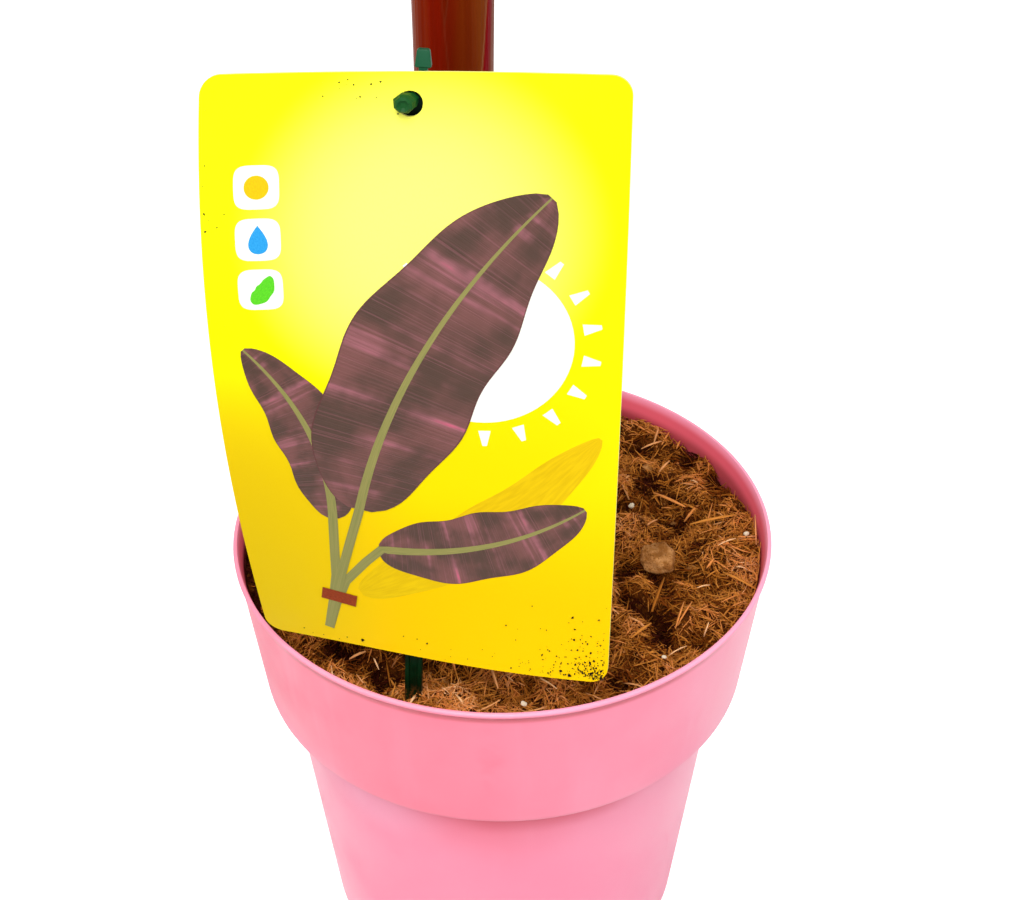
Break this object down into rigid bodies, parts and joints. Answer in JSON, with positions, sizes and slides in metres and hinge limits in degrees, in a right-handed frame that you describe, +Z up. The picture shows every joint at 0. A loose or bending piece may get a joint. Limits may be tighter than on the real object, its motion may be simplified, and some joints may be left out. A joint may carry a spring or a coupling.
{
  "type": "potted banana plant",
  "caption": "Young banana plant with a red-brown stem and broad streaked leaves in a round collared pot, with a plain picture card on a stake.",
  "frame": {"origin": "centre of the pot's flat underside, on the surface the pot stands on", "axes": "+Z up along the pot's axis, -Y to the front, where the picture card faces, +X to the viewer's right"},
  "size_m": [0.6227, 0.6285, 0.9185],
  "materials": {
    "pot_plastic": "satin",
    "coir": "matte",
    "stem_skin": "satin",
    "leaf_blade": "satin",
    "card_print": "satin",
    "stake_plastic": "satin"
  },
  "bodies": {
    "root": {"pot": "pot_plastic", "soil": "coir", "stem": "stem_skin", "leaf_1": "leaf_blade", "leaf_2": "leaf_blade", "leaf_3": "leaf_blade", "leaf_4": "leaf_blade", "leaf_5": "leaf_blade", "leaf_6": "leaf_blade", "leaf_7": "leaf_blade", "leaf_new": "leaf_blade", "label_card": "card_print", "label_stake": "stake_plastic"}
  },
  "joints": []
}
